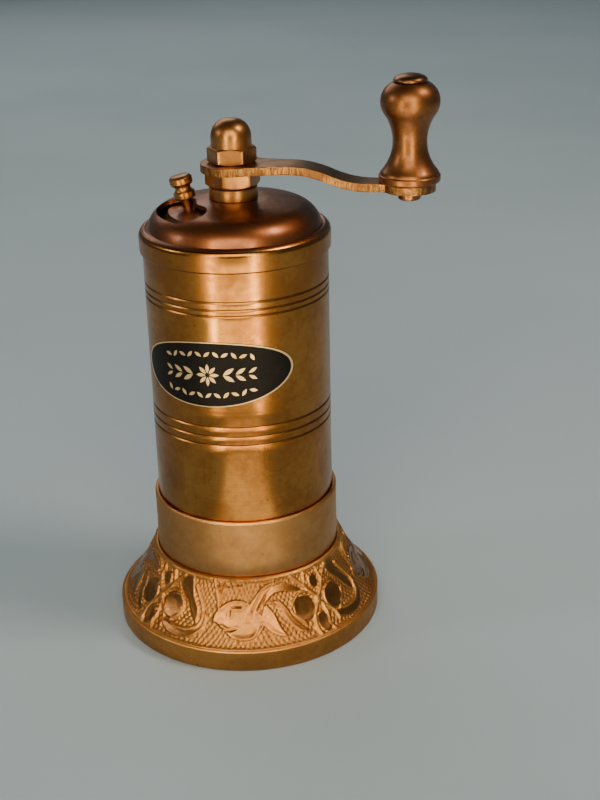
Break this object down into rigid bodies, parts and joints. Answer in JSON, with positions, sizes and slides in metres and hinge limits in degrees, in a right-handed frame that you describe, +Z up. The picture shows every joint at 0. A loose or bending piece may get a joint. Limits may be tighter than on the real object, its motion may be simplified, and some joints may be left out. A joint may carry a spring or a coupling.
{
  "type": "hand mill",
  "caption": "Brass hand mill with a crank, a shuttered filler hole in its domed cap, internal burrs and a cast pedestal that catches the grounds.",
  "frame": {"origin": "centre of the pedestal's flat foot, on the mill's axis", "axes": "+Z up along the mill's axis, -Y towards the front, the crank points to +X at rest"},
  "size_m": [0.0952, 0.0794, 0.1626],
  "materials": {
    "cast_brass": "cast and satin brushed, darker in the hollows",
    "satin_brass": "satin, with fine turning lines",
    "tube_brass": "polished and aged, small dark pits",
    "cap_brass": "polished, tarnished copper-brown",
    "turned_brass": "turned and polished, aged",
    "arm_brass": "tarnished faces, bright rough sheared edges",
    "spring_steel": "drawn wire and plain steel",
    "burr_steel": "hardened cast steel",
    "label_print": "glossy black with a thin gold border"
  },
  "bodies": {
    "base": {"pedestal_base": "cast_brass", "socket_collar": "satin_brass", "base_floor_plate": "satin_brass"},
    "mill_body": {"body_tube": "tube_brass", "oval_label": "label_print", "dome_cap": "cap_brass", "top_bush": "turned_brass", "shutter_spacer": "turned_brass", "bush_lock_nut": "turned_brass", "outer_burr": "burr_steel", "burr_set_screws": "spring_steel", "guide_spider": "turned_brass", "burr_spring": "spring_steel", "lower_bridge": "turned_brass", "bridge_screws": "spring_steel"},
    "carriage": {"thrust_ball": "spring_steel"},
    "adjuster": {"adjuster_screw": "turned_brass"},
    "rotor": {"drive_shaft": "spring_steel", "inner_burr": "burr_steel", "burr_pin": "spring_steel", "spring_washer": "spring_steel", "seat_nut": "turned_brass", "crank_arm": "arm_brass", "acorn_nut": "turned_brass", "knob_rivet": "turned_brass"},
    "crank_grip": {"crank_knob": "turned_brass"},
    "shutter": {"shutter_plate": "cap_brass", "shutter_knob": "turned_brass"}
  },
  "joints": [
    {"name": "body_lift", "type": "slide", "parent": "base", "child": "mill_body", "axis": [0, 0, 1], "range_m": [0, 0.045]},
    {"name": "adjuster_lift", "type": "slide", "parent": "mill_body", "child": "carriage", "axis": [0, 0, 1], "range_m": [0, 0.001], "deforming": ["burr_spring"]},
    {"name": "adjuster_turn", "type": "hinge", "parent": "carriage", "child": "adjuster", "pos_m": [0, 0, 0.0115], "axis": [0, 0, 1], "range_deg": [0, 360]},
    {"name": "crank_spin", "type": "hinge", "parent": "carriage", "child": "rotor", "pos_m": [0, 0, 0.1384], "axis": [0, 0, 1], "continuous": true},
    {"name": "knob_spin", "type": "hinge", "parent": "rotor", "child": "crank_grip", "pos_m": [0.04716, -0.01132, 0.147], "axis": [0, 0, 1], "continuous": true},
    {"name": "shutter_swing", "type": "hinge", "parent": "mill_body", "child": "shutter", "pos_m": [0, 0, 0.1266], "axis": [0, 0, 1], "range_deg": [0, 48]}
  ],
  "couplings": [
    {"joint": "adjuster_turn", "follows": "adjuster_lift", "rad_per_m": 6283.2}
  ]
}
